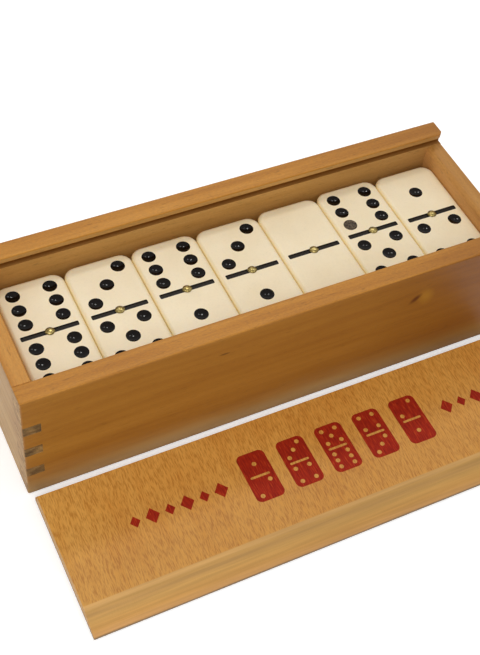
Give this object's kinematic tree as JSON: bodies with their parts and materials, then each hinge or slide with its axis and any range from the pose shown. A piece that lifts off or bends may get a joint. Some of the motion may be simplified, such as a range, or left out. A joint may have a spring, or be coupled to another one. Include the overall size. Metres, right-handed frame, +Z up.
{
  "type": "domino storage box",
  "caption": "Finger-jointed wooden domino box with a sliding lid, low exit end, and pinned ivory-coloured double-six tiles stacked inside.",
  "frame": {"origin": "centre of the box's bottom face, on the surface it stands on", "axes": "+X along the box to the end where the lid slides out, +Y to the back, +Z up"},
  "size_m": [0.1932, 0.1264, 0.0533],
  "materials": {
    "box_wood": "satin lacquer over honey brown hardwood, open grain along each board",
    "lid_wood": "satin lacquer, fine grain with short flecks across the width",
    "plywood": "plain sanded, unlacquered",
    "ivory": "polished, softly worn edges, glossy black in the pips and the groove",
    "brass": "polished dome with a little tarnish"
  },
  "bodies": {
    "box": {"front_side": "box_wood", "back_side": "box_wood", "left_end": "box_wood", "right_end": "box_wood", "base_board": "plywood"},
    "lid": {"lid": "lid_wood"},
    "tile_3_3": {"tile_3_3": "ivory"},
    "tile_3_4": {"tile_3_4": "ivory", "pin_3_4": "brass"},
    "tile_3_6": {"tile_3_6": "ivory", "pin_3_6": "brass"},
    "tile_4_4": {"tile_4_4": "ivory", "pin_4_4": "brass"},
    "tile_4_5": {"tile_4_5": "ivory", "pin_4_5": "brass"},
    "tile_4_6": {"tile_4_6": "ivory", "pin_4_6": "brass"},
    "tile_5_5": {"tile_5_5": "ivory"},
    "tile_1_2": {"tile_1_2": "ivory", "pin_1_2": "brass"},
    "tile_1_5": {"tile_1_5": "ivory", "pin_1_5": "brass"},
    "tile_2_2": {"tile_2_2": "ivory", "pin_2_2": "brass"},
    "tile_2_3": {"tile_2_3": "ivory", "pin_2_3": "brass"},
    "tile_2_4": {"tile_2_4": "ivory", "pin_2_4": "brass"},
    "tile_2_5": {"tile_2_5": "ivory", "pin_2_5": "brass"},
    "tile_2_6": {"tile_2_6": "ivory", "pin_2_6": "brass"},
    "tile_0_1": {"tile_0_1": "ivory", "pin_0_1": "brass"},
    "tile_0_2": {"tile_0_2": "ivory", "pin_0_2": "brass"},
    "tile_0_3": {"tile_0_3": "ivory", "pin_0_3": "brass"},
    "tile_0_4": {"tile_0_4": "ivory", "pin_0_4": "brass"},
    "tile_0_5": {"tile_0_5": "ivory", "pin_0_5": "brass"},
    "tile_0_6": {"tile_0_6": "ivory", "pin_0_6": "brass"},
    "tile_1_1": {"tile_1_1": "ivory", "pin_1_1": "brass"},
    "tile_6_6": {"tile_6_6": "ivory", "pin_6_6": "brass"},
    "tile_3_5": {"tile_3_5": "ivory", "pin_3_5": "brass"},
    "tile_6_1": {"tile_6_1": "ivory", "pin_6_1": "brass"},
    "tile_3_1": {"tile_3_1": "ivory", "pin_3_1": "brass"},
    "tile_0_0": {"tile_0_0": "ivory", "pin_0_0": "brass"},
    "tile_6_5": {"tile_6_5": "ivory", "pin_6_5": "brass"},
    "tile_1_4": {"tile_1_4": "ivory", "pin_1_4": "brass"}
  },
  "joints": [
    {"name": "tile_3_3_lift", "type": "slide", "parent": "box", "child": "tile_3_3", "axis": [0, 0, 1], "range_m": [0, 0.052]},
    {"name": "tile_3_4_lift", "type": "slide", "parent": "box", "child": "tile_3_4", "axis": [0, 0, 1], "range_m": [0, 0.052]},
    {"name": "tile_3_6_lift", "type": "slide", "parent": "box", "child": "tile_3_6", "axis": [0, 0, 1], "range_m": [0, 0.052]},
    {"name": "tile_4_4_lift", "type": "slide", "parent": "box", "child": "tile_4_4", "axis": [0, 0, 1], "range_m": [0, 0.052]},
    {"name": "tile_4_5_lift", "type": "slide", "parent": "box", "child": "tile_4_5", "axis": [0, 0, 1], "range_m": [0, 0.052]},
    {"name": "tile_4_6_lift", "type": "slide", "parent": "box", "child": "tile_4_6", "axis": [0, 0, 1], "range_m": [0, 0.052]},
    {"name": "tile_5_5_lift", "type": "slide", "parent": "box", "child": "tile_5_5", "axis": [0, 0, 1], "range_m": [0, 0.052]},
    {"name": "tile_1_2_lift", "type": "slide", "parent": "tile_3_3", "child": "tile_1_2", "axis": [0, 0, 1], "range_m": [0, 0.043]},
    {"name": "tile_1_5_lift", "type": "slide", "parent": "tile_3_4", "child": "tile_1_5", "axis": [0, 0, 1], "range_m": [0, 0.043]},
    {"name": "tile_2_2_lift", "type": "slide", "parent": "tile_3_6", "child": "tile_2_2", "axis": [0, 0, 1], "range_m": [0, 0.043]},
    {"name": "tile_2_3_lift", "type": "slide", "parent": "tile_4_4", "child": "tile_2_3", "axis": [0, 0, 1], "range_m": [0, 0.043]},
    {"name": "tile_2_4_lift", "type": "slide", "parent": "tile_4_5", "child": "tile_2_4", "axis": [0, 0, 1], "range_m": [0, 0.043]},
    {"name": "tile_2_5_lift", "type": "slide", "parent": "tile_4_6", "child": "tile_2_5", "axis": [0, 0, 1], "range_m": [0, 0.043]},
    {"name": "tile_2_6_lift", "type": "slide", "parent": "tile_5_5", "child": "tile_2_6", "axis": [0, 0, 1], "range_m": [0, 0.043]},
    {"name": "tile_0_1_lift", "type": "slide", "parent": "tile_1_2", "child": "tile_0_1", "axis": [0, 0, 1], "range_m": [0, 0.033]},
    {"name": "tile_0_2_lift", "type": "slide", "parent": "tile_1_5", "child": "tile_0_2", "axis": [0, 0, 1], "range_m": [0, 0.033]},
    {"name": "tile_0_3_lift", "type": "slide", "parent": "tile_2_2", "child": "tile_0_3", "axis": [0, 0, 1], "range_m": [0, 0.033]},
    {"name": "tile_0_4_lift", "type": "slide", "parent": "tile_2_3", "child": "tile_0_4", "axis": [0, 0, 1], "range_m": [0, 0.033]},
    {"name": "tile_0_5_lift", "type": "slide", "parent": "tile_2_4", "child": "tile_0_5", "axis": [0, 0, 1], "range_m": [0, 0.033]},
    {"name": "tile_0_6_lift", "type": "slide", "parent": "tile_2_5", "child": "tile_0_6", "axis": [0, 0, 1], "range_m": [0, 0.033]},
    {"name": "tile_1_1_lift", "type": "slide", "parent": "tile_2_6", "child": "tile_1_1", "axis": [0, 0, 1], "range_m": [0, 0.033]},
    {"name": "tile_6_6_lift", "type": "slide", "parent": "tile_0_1", "child": "tile_6_6", "axis": [0, 0, 1], "range_m": [0, 0.023]},
    {"name": "tile_3_5_lift", "type": "slide", "parent": "tile_0_2", "child": "tile_3_5", "axis": [0, 0, 1], "range_m": [0, 0.023]},
    {"name": "tile_6_1_lift", "type": "slide", "parent": "tile_0_3", "child": "tile_6_1", "axis": [0, 0, 1], "range_m": [0, 0.023]},
    {"name": "tile_3_1_lift", "type": "slide", "parent": "tile_0_4", "child": "tile_3_1", "axis": [0, 0, 1], "range_m": [0, 0.023]},
    {"name": "tile_0_0_lift", "type": "slide", "parent": "tile_0_5", "child": "tile_0_0", "axis": [0, 0, 1], "range_m": [0, 0.023]},
    {"name": "tile_6_5_lift", "type": "slide", "parent": "tile_0_6", "child": "tile_6_5", "axis": [0, 0, 1], "range_m": [0, 0.023]},
    {"name": "tile_1_4_lift", "type": "slide", "parent": "tile_1_1", "child": "tile_1_4", "axis": [0, 0, 1], "range_m": [0, 0.023]},
    {"name": "lid_slide", "type": "slide", "parent": "box", "child": "lid", "axis": [1, 0, 0], "range_m": [0, 0.1865]}
  ]
}
